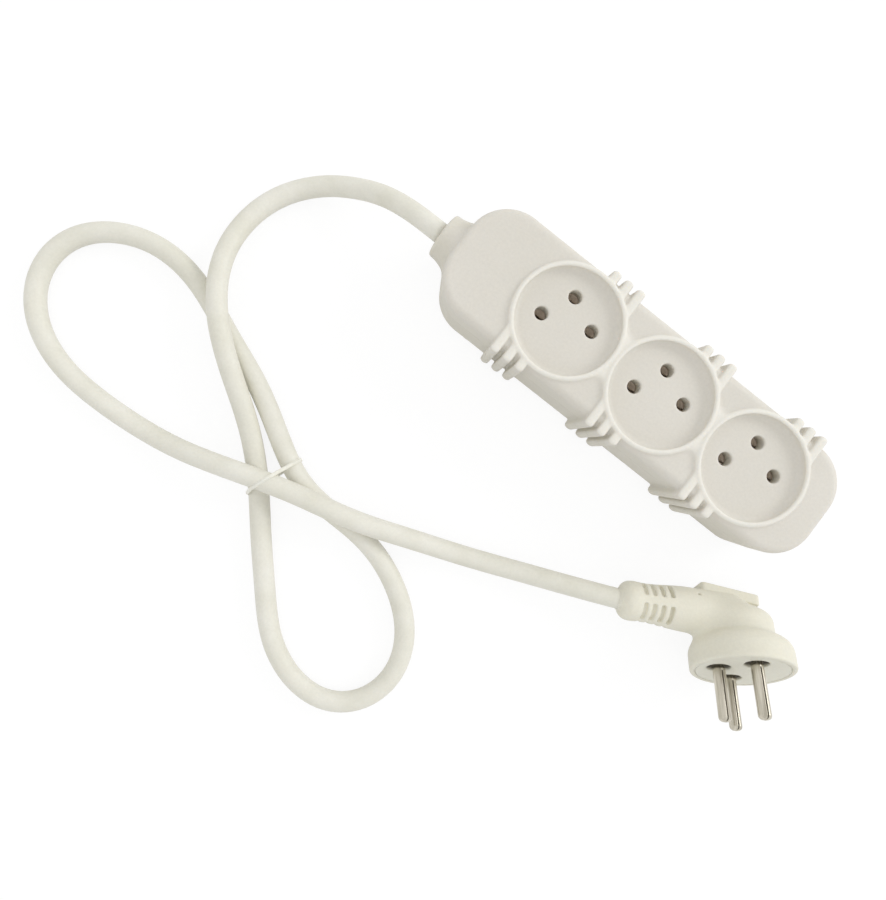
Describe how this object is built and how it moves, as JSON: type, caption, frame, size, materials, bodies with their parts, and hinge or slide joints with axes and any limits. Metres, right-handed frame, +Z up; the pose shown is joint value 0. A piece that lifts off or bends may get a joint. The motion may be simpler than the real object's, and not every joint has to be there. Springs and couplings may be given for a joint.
{
  "type": "extension cord",
  "caption": "White extension cord: a slim socket strip for round-pin plugs with finger-grip fins, a free cord held by a wire tie, and a right-angle plug with a grip bar.",
  "frame": {"origin": "middle of the socket strip's footprint, cord collar included, on the surface it stands on", "axes": "+Z up through the sockets, +X along the strip away from its cord, +Y to the strip's left"},
  "size_m": [0.3193, 0.1949, 0.041],
  "materials": {
    "cover_plastic": "satin warm white moulded shell, fine grain",
    "base_plastic": "satin warm white moulded shell, fine grain",
    "plug_plastic": "soft satin cream over-mould",
    "insert_plastic": "matt pale insert",
    "cord_jacket": "soft matt cream jacket",
    "tie_plastic": "thin coated wire tie",
    "pin_nickel": "nickel plated, fine drawn lines",
    "bar_brass": "rolled strip",
    "contact_brass": "dull, slightly browned",
    "screw_steel": "zinc plated",
    "line_core": "smooth insulation",
    "neutral_core": "smooth insulation",
    "earth_core": "smooth insulation"
  },
  "bodies": {
    "root": {"top_cover": "cover_plastic", "base_shell": "base_plastic", "housing_screws": "screw_steel", "line_bar": "bar_brass", "neutral_bar": "bar_brass", "earth_bar": "bar_brass", "line_contacts": "contact_brass", "neutral_contacts": "contact_brass", "earth_contacts": "contact_brass", "cord_clamp": "insert_plastic", "clamp_screws": "screw_steel", "line_lead": "line_core", "neutral_lead": "neutral_core", "earth_lead": "earth_core", "strip_cord_end": "cord_jacket", "cord": "cord_jacket", "cord_tie": "tie_plastic", "plug_body": "plug_plastic", "pin_bridge": "insert_plastic", "line_pin": "pin_nickel", "neutral_pin": "pin_nickel", "earth_pin": "pin_nickel", "plug_line_core": "line_core", "plug_neutral_core": "neutral_core", "plug_earth_core": "earth_core", "plug_cord_end": "cord_jacket"}
  },
  "joints": []
}
